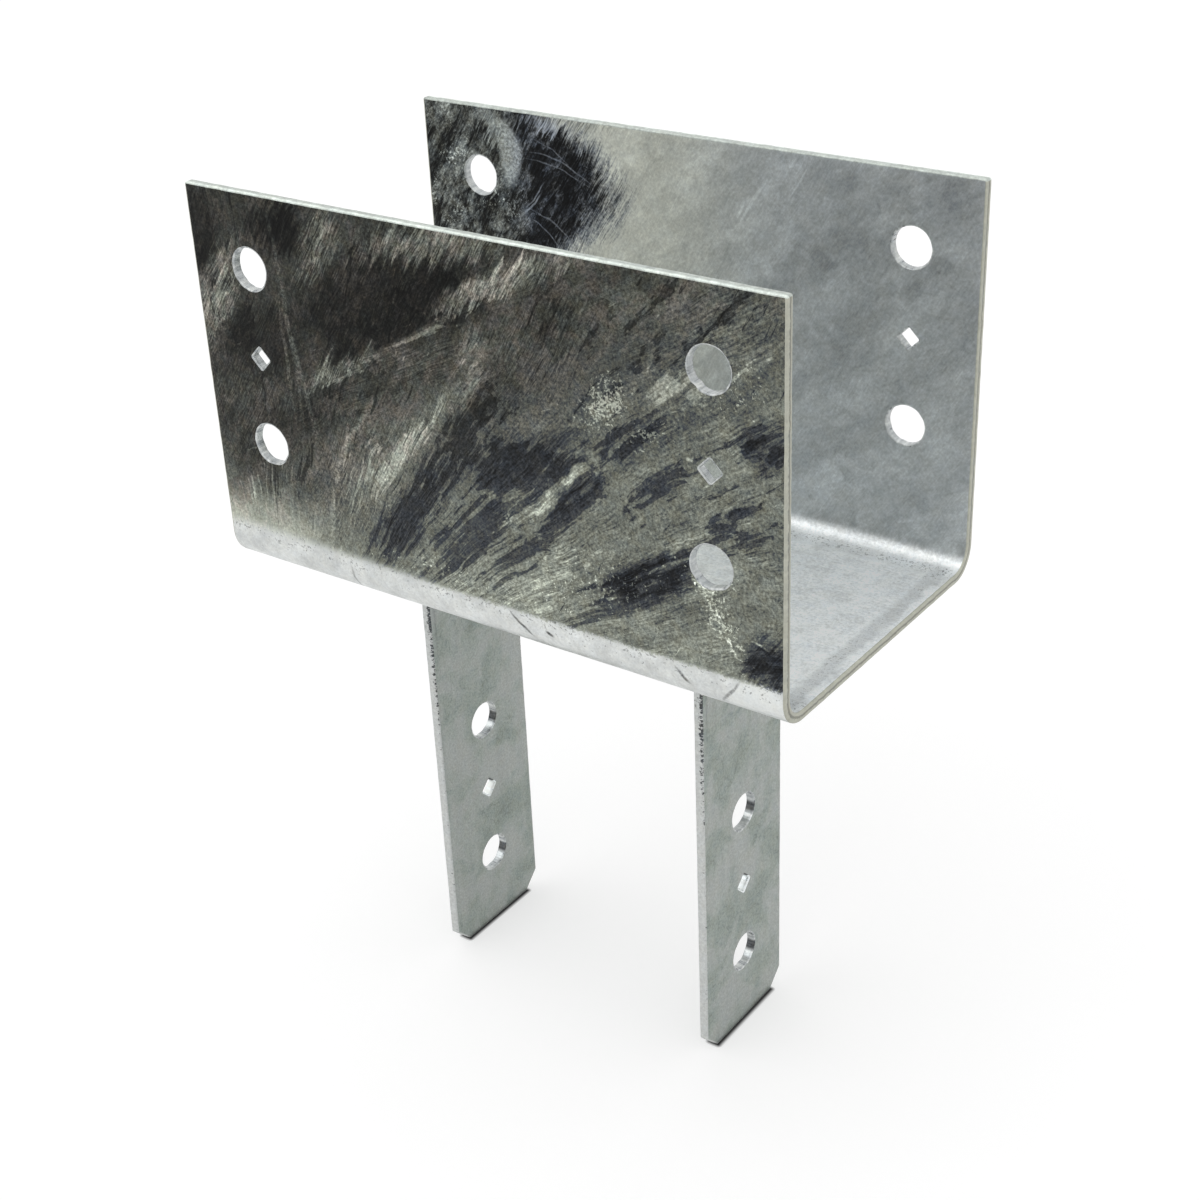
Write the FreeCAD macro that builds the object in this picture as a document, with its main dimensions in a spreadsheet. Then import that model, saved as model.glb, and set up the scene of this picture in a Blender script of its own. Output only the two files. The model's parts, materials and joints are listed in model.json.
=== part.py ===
import FreeCAD, Part
import math
import os

import Sketcher
from FreeCAD import Rotation, Vector

# Column cap: a folded steel saddle carries a beam, and two straps welded under it hold the post.
# Frame: X along the beam, Y across it, Z up. The origin is on the floor, midway between the strap feet.

# Driving sizes in millimetres: name, value, meaning.
DRIVING_SIZES = [
    ("saddle_length", 279.4, "saddle, along the beam"),
    ("beam_width", 144.5, "clear width between the saddle's sides"),
    ("side_height", 165.1, "saddle floor to the top of the sides"),
    ("saddle_sheet", 4.55, "thickness of the saddle's sheet"),
    ("saddle_bend", 9.0, "inside radius of the two folds"),
    ("beam_hole", 17.5, "beam bolt holes, diameter"),
    ("beam_hole_end", 31.0, "saddle end to the beam bolt holes"),
    ("beam_hole_rise", 57.15, "saddle floor to the lower beam bolt holes"),
    ("beam_hole_pitch", 76.2, "lower to upper beam bolt holes"),
    ("post_width", 139.7, "clear width between the straps"),
    ("strap_width", 63.5, "strap, across the beam"),
    ("strap_sheet", 4.55, "thickness of the straps"),
    ("strap_drop", 215.9, "saddle underside to the strap feet"),
    ("strap_clip", 8.6, "legs of the clipped corners at the strap feet"),
    ("post_hole", 17.5, "post bolt holes, diameter"),
    ("post_hole_end", 38.1, "strap foot to the lower post bolt hole"),
    ("post_hole_pitch", 76.2, "lower to upper post bolt hole"),
    ("diamond_across", 9.5, "diamond holes, corner to corner"),
    ("edge_break", 0.5, "break of the sheared and punched edges"),
    ("weld_leg", 5.0, "legs of the fillet welds"),
    ("weld_crown", 0.7, "bulge of a weld's face above the flat"),
    ("weld_inset", 3.0, "strap edge to the end of its weld"),
]

UP = Vector(0, 0, 1)
ALONG_BEAM = Vector(1, 0, 0)
ACROSS_BEAM = Vector(0, 1, 0)
QUARTER_TURN = math.pi / 2
PARALLEL_WITHIN = 0.01

# A sketch numbers its own axes and the points of its curves so.
HORIZONTAL_AXIS, VERTICAL_AXIS = range(-1, -3, -1)
START, END, CENTRE = range(1, 4)
SKETCH_ORIGIN = (HORIZONTAL_AXIS, START)

size = {name: value for name, value, meaning in DRIVING_SIZES}
doc = FreeCAD.newDocument("column_cap")


def make_sheet():
    """Write the driving sizes to the document's spreadsheet."""
    sheet = doc.addObject("Spreadsheet::Sheet", "sizes")
    for row, (name, value, meaning) in enumerate(DRIVING_SIZES, start=1):
        sheet.set(f"A{row}", name)
        sheet.set(f"B{row}", str(value))
        sheet.setAlias(f"B{row}", name)
        sheet.set(f"C{row}", meaning)
    doc.recompute()


def plane(body, role):
    """Origin plane of a body, by its role."""
    return next(feature for feature in body.Origin.OriginFeatures if feature.Role == role)


def make_sketch(body, name, role):
    """Empty sketch on one of the body's origin planes."""
    sketch = body.newObject("Sketcher::SketchObject", name)
    sketch.AttachmentSupport = [(plane(body, role), "")]
    sketch.MapMode = "FlatFace"
    return sketch


def relate(sketch, kind, *where):
    """Add a constraint that has no size."""
    sketch.addConstraint(Sketcher.Constraint(kind, *where))


def bind(sketch, label, expression, kind, *where):
    """Add a sized constraint and tie it to the spreadsheet."""
    value = sketch.evalExpression(expression)
    number = sketch.addConstraint(Sketcher.Constraint(kind, *where, value))
    sketch.renameConstraint(number, label)
    sketch.setExpression(f"Constraints.{label}", expression)


def draw_line(sketch, start, end):
    """Add a straight stretch between two points of the sketch."""
    return sketch.addGeometry(Part.LineSegment(Vector(*start), Vector(*end)))


def draw_quarter(sketch, centre, radius, first_quarter):
    """Add a quarter circle that begins after the given number of quarter turns."""
    begin = first_quarter * QUARTER_TURN
    circle = Part.Circle(Vector(*centre), UP, radius)
    return sketch.addGeometry(Part.ArcOfCircle(circle, begin, begin + QUARTER_TURN))


def draw_polygon(sketch, points):
    """Add a closed outline of straight stretches and join their ends."""
    edges = [draw_line(sketch, a, b) for a, b in zip(points, points[1:] + points[:1])]
    for edge, following in zip(edges, edges[1:] + edges[:1]):
        relate(sketch, "Coincident", edge, END, following, START)
    return edges


def draw_hole_group(sketch, x, y, hole, pitch):
    """Two bolt holes, the lower at x, y, with a diamond hole midway; hole and pitch name their sizes."""
    half_pitch, half_across = size[pitch] / 2, size["diamond_across"] / 2
    low_hole, high_hole = [
        sketch.addGeometry(Part.Circle(Vector(x, height), UP, size[hole] / 2))
        for height in (y, y + size[pitch])
    ]
    relate(sketch, "Equal", low_hole, high_hole)
    relate(sketch, "Vertical", low_hole, CENTRE, high_hole, CENTRE)
    bind(sketch, "hole", f"sizes.{hole}", "Diameter", low_hole)
    bind(sketch, "pitch", f"sizes.{pitch}", "DistanceY", low_hole, CENTRE, high_hole, CENTRE)

    middle = y + half_pitch
    top, bottom = (x, middle + half_across), (x, middle - half_across)
    left, right = (x - half_across, middle), (x + half_across, middle)
    from_top, from_right, from_bottom, from_left = draw_polygon(sketch, [top, right, bottom, left])
    relate(sketch, "Vertical", from_top, START, low_hole, CENTRE)
    relate(sketch, "Vertical", from_bottom, START, from_top, START)
    relate(sketch, "Horizontal", from_right, START, from_left, START)
    relate(sketch, "Equal", from_top, from_left)
    relate(sketch, "Equal", from_top, from_right)
    relate(sketch, "Perpendicular", from_top, from_right)
    bind(sketch, "across", "sizes.diamond_across", "DistanceY", from_bottom, START, from_top, START)
    bind(sketch, "rise", f"(sizes.{pitch} - sizes.diamond_across) / 2",
         "DistanceY", low_hole, CENTRE, from_bottom, START)
    return low_hole


def draw_saddle_profile(sketch):
    """Closed U of even thickness with round folds, its underside on the horizontal axis."""
    sheet, bend = size["saddle_sheet"], size["saddle_bend"]
    inside = size["beam_width"] / 2
    outside = inside + sheet
    fold_x, fold_y = inside - bend, sheet + bend
    top = sheet + size["side_height"]

    left_skin = draw_line(sketch, (-outside, top), (-outside, fold_y))
    left_fold = draw_quarter(sketch, (-fold_x, fold_y), bend + sheet, 2)
    underside = draw_line(sketch, (-fold_x, 0), (fold_x, 0))
    right_fold = draw_quarter(sketch, (fold_x, fold_y), bend + sheet, 3)
    right_skin = draw_line(sketch, (outside, fold_y), (outside, top))
    right_top = draw_line(sketch, (outside, top), (inside, top))
    right_lining = draw_line(sketch, (inside, top), (inside, fold_y))
    right_hollow = draw_quarter(sketch, (fold_x, fold_y), bend, 3)
    floor = draw_line(sketch, (fold_x, sheet), (-fold_x, sheet))
    left_hollow = draw_quarter(sketch, (-fold_x, fold_y), bend, 2)
    left_lining = draw_line(sketch, (-inside, fold_y), (-inside, top))
    left_top = draw_line(sketch, (-inside, top), (-outside, top))

    for join in [
        (left_skin, END, left_fold, START), (left_fold, END, underside, START),
        (underside, END, right_fold, START), (right_fold, END, right_skin, START),
        (right_lining, END, right_hollow, END), (right_hollow, START, floor, START),
        (floor, END, left_hollow, END), (left_hollow, START, left_lining, START),
    ]:
        relate(sketch, "Tangent", *join)
    for join in [
        (right_skin, END, right_top, START), (right_top, END, right_lining, START),
        (left_lining, END, left_top, START), (left_top, END, left_skin, START),
        (left_fold, CENTRE, left_hollow, CENTRE), (right_fold, CENTRE, right_hollow, CENTRE),
    ]:
        relate(sketch, "Coincident", *join)
    for upright in (left_skin, right_skin, left_lining, right_lining):
        relate(sketch, "Vertical", upright)
    for level in (floor, left_top, right_top):
        relate(sketch, "Horizontal", level)
    relate(sketch, "Horizontal", left_top, START, right_top, END)
    relate(sketch, "Symmetric", underside, START, underside, END, VERTICAL_AXIS)
    relate(sketch, "PointOnObject", underside, START, HORIZONTAL_AXIS)
    relate(sketch, "Equal", left_fold, right_fold)
    bind(sketch, "sheet", "sizes.saddle_sheet", "DistanceY", underside, START, floor, END)
    bind(sketch, "bend", "sizes.saddle_bend", "Radius", right_hollow)
    bind(sketch, "beam_width", "sizes.beam_width", "DistanceX", left_lining, START, right_lining, END)
    bind(sketch, "side_height", "sizes.side_height", "DistanceY", floor, START, right_lining, START)


def draw_strap_outline(sketch):
    """Flat bar that hangs from the horizontal axis, its two lower corners clipped."""
    half, drop, clip = size["strap_width"] / 2, size["strap_drop"], size["strap_clip"]
    left, left_clip, foot, right_clip, right, top = draw_polygon(sketch, [
        (-half, 0), (-half, clip - drop), (clip - half, -drop),
        (half - clip, -drop), (half, clip - drop), (half, 0),
    ])
    relate(sketch, "Vertical", left)
    relate(sketch, "Vertical", right)
    relate(sketch, "PointOnObject", top, START, HORIZONTAL_AXIS)
    relate(sketch, "Symmetric", top, START, top, END, VERTICAL_AXIS)
    relate(sketch, "Symmetric", foot, START, foot, END, VERTICAL_AXIS)
    relate(sketch, "Horizontal", left, END, right, START)
    bind(sketch, "width", "sizes.strap_width", "DistanceX", left, START, right, END)
    bind(sketch, "drop", "sizes.strap_drop", "DistanceY", foot, START, top, START)
    bind(sketch, "clip_width", "sizes.strap_clip", "DistanceX", left_clip, START, left_clip, END)
    bind(sketch, "clip_height", "sizes.strap_clip", "DistanceY", left_clip, END, left_clip, START)


def draw_weld_section(sketch):
    """Fillet weld in the corner at the origin: one leg out, one leg down and a bulged face."""
    leg = size["weld_leg"]
    bulge = leg / 2 + size["weld_crown"] / math.sqrt(2)
    upper = draw_line(sketch, (0, 0), (leg, 0))
    lower = draw_line(sketch, (0, -leg), (0, 0))
    face = sketch.addGeometry(Part.Arc(Vector(0, -leg), Vector(bulge, -bulge), Vector(leg, 0)))
    relate(sketch, "Coincident", upper, START, *SKETCH_ORIGIN)
    relate(sketch, "Coincident", lower, END, *SKETCH_ORIGIN)
    relate(sketch, "Coincident", face, START, lower, START)
    relate(sketch, "Coincident", face, END, upper, END)
    relate(sketch, "Horizontal", upper)
    relate(sketch, "Vertical", lower)
    relate(sketch, "Equal", upper, lower)
    bind(sketch, "leg", "sizes.weld_leg", "DistanceX", upper, START, upper, END)
    bind(sketch, "face", "(sizes.weld_leg ^ 2 / 2 + sizes.weld_crown ^ 2) / (2 * sizes.weld_crown)",
         "Radius", face)


def make_body(label):
    """Body of one sub-part, hung at the height of the saddle's underside."""
    body = doc.addObject("PartDesign::Body", label)
    body.Label = label
    body.setExpression("Placement.Base.z", "sizes.strap_drop")
    return body


def make_pad(body, name, sketch, length):
    """Push a sketch out to both sides of its plane, to the length that an expression gives."""
    pad = body.newObject("PartDesign::Pad", name)
    pad.Profile = sketch
    pad.SideType = "Symmetric"
    pad.setExpression("Length", length)
    doc.recompute()
    return pad


def make_mirror(body, name, feature, role):
    """Repeat a feature on the other side of one of the body's origin planes."""
    mirror = body.newObject("PartDesign::Mirrored", name)
    mirror.Originals = [feature]
    mirror.MirrorPlane = (plane(body, role), [""])
    body.Tip = mirror
    doc.recompute()
    return mirror


def is_sharp(edge, faces):
    """True where two faces meet at a corner, false along a seam or a smooth fold."""
    point = edge.valueAt((edge.FirstParameter + edge.LastParameter) / 2)
    normals = [face.normalAt(*face.Surface.parameter(point)) for face in faces]
    return len(normals) == 2 and normals[0].getAngle(normals[1]) > QUARTER_TURN / 3


def break_edges(body, name, feature, through, welded_top=False):
    """Break the sharp edges round a sheet's two faces; those that run through the sheet stay as cut."""
    names = []
    for number, edge in enumerate(feature.Shape.Edges, start=1):
        faces = feature.Shape.ancestorsOfType(edge, Part.Face)
        tangent = edge.tangentAt((edge.FirstParameter + edge.LastParameter) / 2)
        runs_through = tangent.isParallel(through, PARALLEL_WITHIN)
        in_weld = welded_top and edge.BoundBox.ZMin > -size["edge_break"]
        if is_sharp(edge, faces) and not runs_through and not in_weld:
            names.append(f"Edge{number}")
    chamfer = body.newObject("PartDesign::Chamfer", name)
    chamfer.Base = (feature, names)
    chamfer.setExpression("Size", "sizes.edge_break")
    doc.recompute()


def make_saddle():
    """Folded sheet with bolt and diamond holes through both sides at each end."""
    body = make_body("beam_saddle")
    profile = make_sketch(body, "saddle_profile", "YZ_Plane")
    draw_saddle_profile(profile)
    make_pad(body, "folded_sheet", profile, "sizes.saddle_length")

    holes = make_sketch(body, "saddle_holes", "XZ_Plane")
    low_hole = draw_hole_group(
        holes, size["saddle_length"] / 2 - size["beam_hole_end"],
        size["saddle_sheet"] + size["beam_hole_rise"], "beam_hole", "beam_hole_pitch")
    bind(holes, "from_middle", "sizes.saddle_length / 2 - sizes.beam_hole_end",
         "DistanceX", *SKETCH_ORIGIN, low_hole, CENTRE)
    bind(holes, "from_underside", "sizes.saddle_sheet + sizes.beam_hole_rise",
         "DistanceY", *SKETCH_ORIGIN, low_hole, CENTRE)
    punched_end = body.newObject("PartDesign::Pocket", "punched_end")
    punched_end.Profile = holes
    punched_end.Type = "ThroughAll"
    punched_end.SideType = "Symmetric"
    doc.recompute()
    punched_ends = make_mirror(body, "punched_ends", punched_end, "YZ_Plane")
    break_edges(body, "broken_edges", punched_ends, ACROSS_BEAM)
    return body


def make_strap(label, side):
    """Flat bar with clipped feet and a hole group; side is -1 at the left and 1 at the right."""
    body = make_body(label)
    outline = make_sketch(body, f"{label}_outline", "YZ_Plane")
    draw_strap_outline(outline)
    low_hole = draw_hole_group(
        outline, 0, size["post_hole_end"] - size["strap_drop"], "post_hole", "post_hole_pitch")
    relate(outline, "PointOnObject", low_hole, CENTRE, VERTICAL_AXIS)
    bind(outline, "below_top", "sizes.strap_drop - sizes.post_hole_end",
         "DistanceY", low_hole, CENTRE, *SKETCH_ORIGIN)
    bar = make_pad(body, f"{label}_bar", outline, "sizes.strap_sheet")
    break_edges(body, f"{label}_broken_edges", bar, ALONG_BEAM, welded_top=True)
    body.setExpression("Placement.Base.x", f"{side} * (sizes.post_width + sizes.strap_sheet) / 2")
    return body


def make_weld(label, side):
    """Fillet weld along the outer face of a strap, rolled round at both ends."""
    body = make_body(label)
    straight_run = "(sizes.strap_width - 2 * sizes.weld_inset - 2 * sizes.weld_leg)"
    section = make_sketch(body, f"{label}_section", "XZ_Plane")
    draw_weld_section(section)
    make_pad(body, f"{label}_run", section, straight_run)

    end_section = make_sketch(body, f"{label}_end_section", "XZ_Plane")
    end_section.setExpression("AttachmentOffset.Base.z", f"{straight_run} / 2")
    draw_weld_section(end_section)
    rolled_end = body.newObject("PartDesign::Revolution", f"{label}_end")
    rolled_end.Profile = end_section
    rolled_end.ReferenceAxis = (end_section, ["V_Axis"])
    rolled_end.Angle = 90
    rolled_end.Reversed = True
    doc.recompute()
    make_mirror(body, f"{label}_ends", rolled_end, "XZ_Plane")
    body.Placement.Rotation = Rotation(UP, 0 if side > 0 else 180)
    body.setExpression("Placement.Base.x", f"{side} * (sizes.post_width / 2 + sizes.strap_sheet)")
    return body


def check(parts):
    """Stop if an object failed, a sketch is loose or a sub-part is not one valid solid."""
    for item in doc.Objects:
        if "Invalid" in item.State or "Error" in item.State:
            raise RuntimeError(f"{item.Name} failed: {item.State}")
        if item.TypeId == "Sketcher::SketchObject" and not item.FullyConstrained:
            raise RuntimeError(f"{item.Name} is not fully constrained")
    for body in parts:
        if body.Shape.isNull() or not body.Shape.isValid() or len(body.Shape.Solids) != 1:
            raise RuntimeError(f"{body.Label} is not one valid solid")


make_sheet()
parts = [make_saddle()]
for place, side in (("left", -1), ("right", 1)):
    parts.append(make_strap(f"{place}_post_strap", side))
    parts.append(make_weld(f"{place}_strap_weld", side))
doc.recompute()
check(parts)

os.makedirs("parts", exist_ok=True)
for body in parts:
    body.Shape.exportStep(f"parts/{body.Label}.step")
    box = body.Shape.optimalBoundingBox(False, False)
    lengths = " x ".join(f"{length:.2f}" for length in (box.XLength, box.YLength, box.ZLength))
    print(f"{body.Label}: {body.Shape.Volume:.0f} mm3, {lengths} mm")
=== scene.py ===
import json
import math
import random
from typing import NamedTuple

import bmesh
import bpy
from mathutils import Matrix, Vector, kdtree, noise
from mathutils.geometry import delaunay_2d_cdt


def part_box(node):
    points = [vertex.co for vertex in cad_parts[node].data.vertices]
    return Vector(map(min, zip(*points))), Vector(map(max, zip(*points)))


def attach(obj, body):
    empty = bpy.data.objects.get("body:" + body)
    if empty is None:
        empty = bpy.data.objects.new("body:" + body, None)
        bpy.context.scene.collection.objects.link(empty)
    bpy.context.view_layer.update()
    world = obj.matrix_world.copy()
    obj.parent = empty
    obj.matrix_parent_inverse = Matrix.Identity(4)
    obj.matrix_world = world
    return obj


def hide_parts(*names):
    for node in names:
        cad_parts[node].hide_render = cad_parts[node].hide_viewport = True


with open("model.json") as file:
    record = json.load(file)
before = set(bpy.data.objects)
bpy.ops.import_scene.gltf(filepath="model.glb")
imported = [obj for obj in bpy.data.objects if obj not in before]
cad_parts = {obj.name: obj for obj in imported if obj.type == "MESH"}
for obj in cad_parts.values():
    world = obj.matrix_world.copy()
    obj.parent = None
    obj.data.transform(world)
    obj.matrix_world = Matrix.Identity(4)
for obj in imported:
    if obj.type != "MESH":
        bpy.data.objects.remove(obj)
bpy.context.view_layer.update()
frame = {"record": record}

# Column cap of hot-dip galvanised steel: a folded saddle with two straps welded under it.
# Frame in metres: X along the beam, Y across it, Z up. Finishes are laid out in millimetres.
MM = 0.001
TO_MM = 1000.0

# Sizes that the frame gives
MOUNTS = {mount["name"]: mount for mount in frame["record"]["mounts"]}
SADDLE_LOW, SADDLE_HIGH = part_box("beam_saddle")
SADDLE_SHEET = MOUNTS["beam_seat"]["pos_m"][2] - SADDLE_LOW.z
STRAP_LOW, STRAP_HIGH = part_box("right_post_strap")
STRAP_MIDDLE = (STRAP_LOW.x + STRAP_HIGH.x) / 2

# Sizes that the frame doesn't give
INSIDE_FOLD = 9.0 * MM
DIAMOND_ACROSS = 9.5 * MM
DIAMOND_ROUND = 0.5 * MM
STRAP_CLIP = 8.6 * MM
EDGE_ROUND = 0.75 * MM
CORNER_ROUND = 1.1 * MM

# Mesh fineness
GRID_STEP = 2.6 * MM
FOLD_STEP = 1.0 * MM
RIM_STEP = 1.2 * MM
HOLE_STEPS = 96
CORNER_STEPS = 5
RIM_ROWS = 4
WALL_ROWS = 3
RIM_CLEAR = 0.55 * GRID_STEP
INSIDE_ONLY = 1
SAME_POINT = 1e-9

# The folded saddle as a flat blank, measured along the middle of the sheet
MID_FOLD = INSIDE_FOLD + SADDLE_SHEET / 2
HALF_FLOOR = SADDLE_HIGH.y - SADDLE_SHEET - INSIDE_FOLD
FOLD_CENTRE = SADDLE_LOW.z + SADDLE_SHEET + INSIDE_FOLD
SIDE_START = HALF_FLOOR + MID_FOLD * math.pi / 2
HALF_BLANK = SIDE_START + SADDLE_HIGH.z - FOLD_CENTRE

# Unevenness of the zinc, all of it inside the nominal form
SKIN_DIP = 0.28 * MM
SKIN_WAVE = 14.0 * MM
EDGE_DENT = 0.22 * MM
EDGE_WAVE = 5.0 * MM
BEAD_RISE = 0.9 * MM
LUMP_REACH = 1.1 * MM
LUMP_GAP = 1.5 * MM
LUMP_CLEAR = 3.2 * MM
LUMP_APART = 0.3 * LUMP_REACH
LUMP_RINGS = ((0.0, 1), (0.45, 6), (0.9, 9), (1.4, 12))
LUMPS_NEAR = 80

# Weld beads: waves along the run, and shares of the leg
RIPPLE_LENGTH = 2.6 * MM
WOBBLE_LENGTH = 9.0 * MM
WELD_FILL = 0.93
WELD_WOBBLE = 0.05
WELD_RIPPLE = 0.06
WELD_CROWN = 0.35
WELD_END = 0.02
WELD_STATIONS = 120
WELD_STEPS = 10

# Camera
CAMERA_PLACE = Vector((0.4510, -0.6069, 0.6049))
CAMERA_AIM = Vector((0.0015, 0.0, 0.1990))
CAMERA_ROLL = math.radians(-2.55)
CAMERA_LENS = 59.11
CAMERA_SENSOR = 36.0

# Light
SUN_FROM = Vector((-0.25, -0.30, 1.0))
SUN_STRENGTH = 0.8
SUN_SPREAD = math.radians(80)
WORLD_LIGHT = 0.75
FLOOR_SIZE = 30.0
FLOOR_COLOUR = 0.55
FLOOR_LIFT = 0.51
# Painted contact shadow on the floor round the strap feet: how far it reaches, and the floor's level at the
# feet
PAINTED_SHADOW_REACH = 2.6 * MM
PAINTED_SHADOW_LEVEL = 0.04


def fold_saddle(along, across, depth):
    """Place of a point of the flat blank once it is folded; depth is towards the inside."""
    reach = abs(across)
    radius = MID_FOLD - depth
    if reach <= HALF_FLOOR:
        out, height = reach, FOLD_CENTRE - radius
    elif reach <= SIDE_START:
        turn = (reach - HALF_FLOOR) / MID_FOLD
        out, height = HALF_FLOOR + radius * math.sin(turn), FOLD_CENTRE - radius * math.cos(turn)
    else:
        out, height = HALF_FLOOR + radius, FOLD_CENTRE + reach - SIDE_START
    return Vector((along, math.copysign(out, across), height))


def blank_height(height):
    """How far across the flat blank a height of the saddle's sides lies."""
    return SIDE_START + height - FOLD_CENTRE


class Hole(NamedTuple):
    """Hole in a sheet: its rim, and the disc that holds no other point."""
    rim: object
    middle: Vector
    reach: float


class Lump(NamedTuple):
    """Drop of zinc that stands on one skin of a sheet."""
    place: Vector
    skin: int
    rise: float


def make_rim(stations, dent):
    """Rim as a function of its widening. A station is a place and the way out from it."""
    return lambda widening: [place + out * (widening - dent(place)) for place, out in stations]


def edge_dent(place):
    """How far a cut edge is drawn in at a place."""
    return EDGE_DENT * (0.5 + 0.5 * noise.noise(place.to_3d() / EDGE_WAVE))


def round_hole(middle, radius, down):
    """Round hole whose rim carries beads of zinc, most of them at the bottom."""
    turns = [2 * math.pi * step / HOLE_STEPS for step in range(HOLE_STEPS)]
    ways = [Vector((math.cos(turn), math.sin(turn))) for turn in turns]

    def bead(place):
        way = (place - middle) / radius
        lumpy = max(0.0, noise.noise(Vector((way.x * 2.6, way.y * 2.6, middle.x * 90 + middle.y * 40))))
        return BEAD_RISE * lumpy * (0.25 + 0.75 * max(0.0, way.dot(down)))

    return Hole(make_rim([(middle + way * radius, way) for way in ways], bead), middle, radius)


def polygon_rim(corners, rounding, step, dent):
    """Rim of a convex outline, anticlockwise, with round corners."""
    arcs = []
    for number, corner in enumerate(corners):
        back = (corners[number - 1] - corner).normalized()
        ahead = (corners[(number + 1) % len(corners)] - corner).normalized()
        centre = corner + (back + ahead).normalized() * rounding / math.sin(back.angle(ahead) / 2)
        first = math.atan2(back.x, -back.y)
        turn = math.pi - back.angle(ahead)
        angles = [first + turn * share / CORNER_STEPS for share in range(CORNER_STEPS + 1)]
        ways = [Vector((math.cos(angle), math.sin(angle))) for angle in angles]
        arcs.append([(centre + way * rounding, way) for way in ways])
    stations = []
    for arc, following in zip(arcs, arcs[1:] + arcs[:1]):
        stations += arc
        (start, way), (end, _) = arc[-1], following[0]
        pieces = max(1, round((end - start).length / step))
        stations += [(start.lerp(end, piece / pieces), way) for piece in range(1, pieces)]
    return make_rim(stations, dent)


def inside(corners, point, margin):
    """True if a point lies inside a convex outline by a margin."""
    for start, end in zip(corners, corners[1:] + corners[:1]):
        edge = (end - start).normalized()
        if edge.cross(point - start) < margin:
            return False
    return True


def point_tree(points):
    """Search tree of flat points."""
    tree = kdtree.KDTree(len(points))
    for number, point in enumerate(points):
        tree.insert(point.to_3d(), number)
    tree.balance()
    return tree


def lump_points(lumps):
    """Rings of points that carry the lumps' shape, none of them close to another lump's."""
    found = []
    for lump in lumps:
        for ring, count in LUMP_RINGS:
            turns = [2 * math.pi * step / count for step in range(count)]
            ways = [Vector((math.cos(turn), math.sin(turn))) for turn in turns]
            found += [lump.place + way * ring * LUMP_REACH for way in ways]
    kept = []
    for point in found:
        if all((point - other).length > LUMP_APART for other in kept[-LUMPS_NEAR:]):
            kept.append(point)
    return kept


def grid_points(corners, rim_points, holes, lumps, columns, rows):
    """Points inside an outline that keep clear of every rim: a grid, and finer rings round the lumps."""
    tree = point_tree(rim_points)

    def free(point, gap):
        if any((point - hole.middle).length < hole.reach + gap for hole in holes):
            return False
        return inside(corners, point, gap) and tree.find(point.to_3d())[2] > gap

    fine = [point for point in lump_points(lumps) if free(point, RIM_CLEAR / 2)]
    fine_tree = point_tree(fine)
    grid = [Vector((u, v)) for v in rows for u in columns]
    coarse = [point for point in grid if free(point, RIM_CLEAR)]
    if fine:
        coarse = [point for point in coarse if fine_tree.find(point.to_3d())[2] > RIM_CLEAR / 2]
    return fine + coarse


def spread(low, high, step):
    """Evenly spaced values from low to high."""
    count = max(1, round((high - low) / step))
    return [low + (high - low) * number / count for number in range(count + 1)]


def rim_rows(thickness):
    """(widening, depth) down a rim from the upper skin to the lower one, round at both edges."""
    quarter = [math.pi / 2 * row / RIM_ROWS for row in range(RIM_ROWS + 1)]
    upper = [(EDGE_ROUND * (1 - math.sin(turn)), thickness / 2 - EDGE_ROUND * (1 - math.cos(turn)))
             for turn in quarter]
    wall_top = thickness / 2 - EDGE_ROUND
    wall = [(0.0, wall_top * (1 - 2 * row / WALL_ROWS)) for row in range(1, WALL_ROWS)]
    lower = [(widening, -depth) for widening, depth in reversed(upper)]
    return upper + wall + lower


class Relief:
    """Waves and lumps of the zinc on both skins of a sheet."""

    def __init__(self, thickness, lumps):
        self.thickness = thickness
        self.lumps = lumps
        self.tree = point_tree([lump.place for lump in lumps])

    def depth(self, point, depth):
        """Depth of a point of the sheet once its skins are uneven."""
        skin = math.copysign(1, depth)
        wave = noise.noise(Vector((point.x, point.y, skin)) / SKIN_WAVE)
        dip = SKIN_DIP * (0.75 + 0.25 * wave)
        for _, number, distance in self.tree.find_range(point.to_3d(), LUMP_CLEAR):
            lump = self.lumps[number]
            if lump.skin == skin:
                dip -= lump.rise * math.exp(-2 * (distance / LUMP_REACH) ** 2)
        return depth * (1 - 2 * max(0.0, dip) / self.thickness)


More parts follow.
